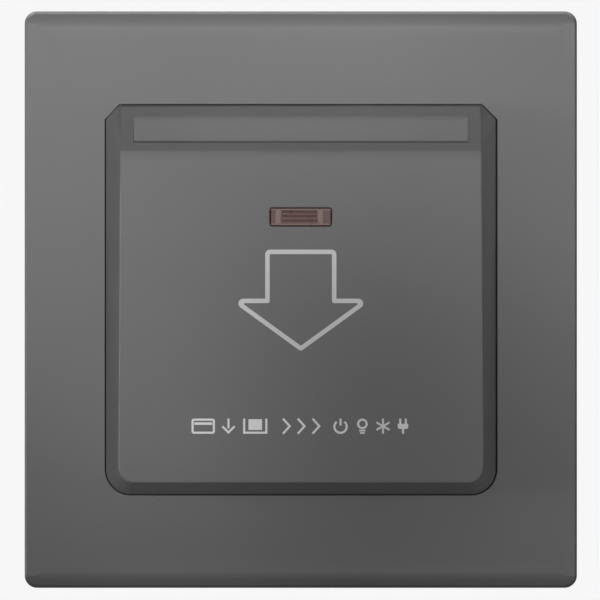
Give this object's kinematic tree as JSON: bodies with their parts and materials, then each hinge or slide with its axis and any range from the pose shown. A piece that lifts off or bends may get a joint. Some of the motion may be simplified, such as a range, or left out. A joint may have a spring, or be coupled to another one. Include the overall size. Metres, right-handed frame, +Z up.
{
  "type": "hotel key card switch",
  "caption": "Flush wall switch worked by a hotel key card: square faceplate, raised card pocket with a slot at the top, lit window, lever and microswitch inside.",
  "frame": {"origin": "on the wall surface, midway between the two fixing screws", "axes": "+X to the right seen from the front, +Y into the wall, +Z up; the card pocket faces -Y"},
  "size_m": [0.09, 0.0465, 0.094],
  "materials": {
    "charcoal_plastic": "fine satin texture",
    "smoked_lens": "smoked red, polished",
    "guide_plastic": "moulded",
    "frame_plastic": "moulded",
    "housing_plastic": "moulded",
    "lever_plastic": "natural acetal",
    "plated_steel": "zinc plated",
    "spring_steel": "drawn wire",
    "switch_plastic": "moulded",
    "plunger_plastic": "moulded",
    "blade_bronze": "rolled bronze strip",
    "contact_silver": "silver alloy",
    "terminal_brass": "machined",
    "board_laminate": "paper laminate",
    "lamp_glass": "clear",
    "lamp_nickel": "nickel wire",
    "resistor_lacquer": "lacquered",
    "lead_red": "insulated wire",
    "lead_blue": "insulated wire"
  },
  "bodies": {
    "base": {"faceplate": "charcoal_plastic", "front_cover": "charcoal_plastic", "indicator_lens": "smoked_lens", "card_guide": "guide_plastic", "mounting_frame": "frame_plastic", "rear_housing": "housing_plastic", "frame_screws": "plated_steel", "guide_screws": "plated_steel", "lever_pin": "plated_steel", "return_spring": "spring_steel", "microswitch_case": "switch_plastic", "microswitch_lid": "switch_plastic", "microswitch_screws": "plated_steel", "common_busbar": "terminal_brass", "load_busbar": "terminal_brass", "rest_contact": "terminal_brass", "fixed_contacts": "contact_silver", "line_terminal": "terminal_brass", "neutral_terminal": "terminal_brass", "load_terminal": "terminal_brass", "terminal_screws": "plated_steel", "lamp_board": "board_laminate", "neon_lamp": "lamp_glass", "lamp_electrodes": "lamp_nickel", "dropping_resistor": "resistor_lacquer", "lamp_lead_line": "lead_red", "lamp_lead_neutral": "lead_blue"},
    "lever": {"actuator_lever": "lever_plastic"},
    "plunger": {"microswitch_plunger": "plunger_plastic"},
    "blade": {"contact_blade": "blade_bronze", "moving_contact": "contact_silver"}
  },
  "joints": [
    {"name": "lever_hinge", "type": "hinge", "parent": "base", "child": "lever", "pos_m": [0, -0.0055, -0.004], "axis": [1, 0, 0], "range_deg": [0, 11], "stiffness_Nm_per_rad": 0.01, "springref_deg": -28.65, "deforming": ["return_spring"]},
    {"name": "plunger_slide", "type": "slide", "parent": "base", "child": "plunger", "axis": [0, 1, 0], "range_m": [0, 0.00105]},
    {"name": "blade_hinge", "type": "hinge", "parent": "base", "child": "blade", "pos_m": [-0.0066, 0.00445, -0.0095], "axis": [0, 0, 1], "range_deg": [0, 8.2]}
  ],
  "couplings": [
    {"joint": "plunger_slide", "follows": "lever_hinge", "m_per_rad": 0.0052},
    {"joint": "blade_hinge", "follows": "lever_hinge", "ratio": 0.715}
  ]
}
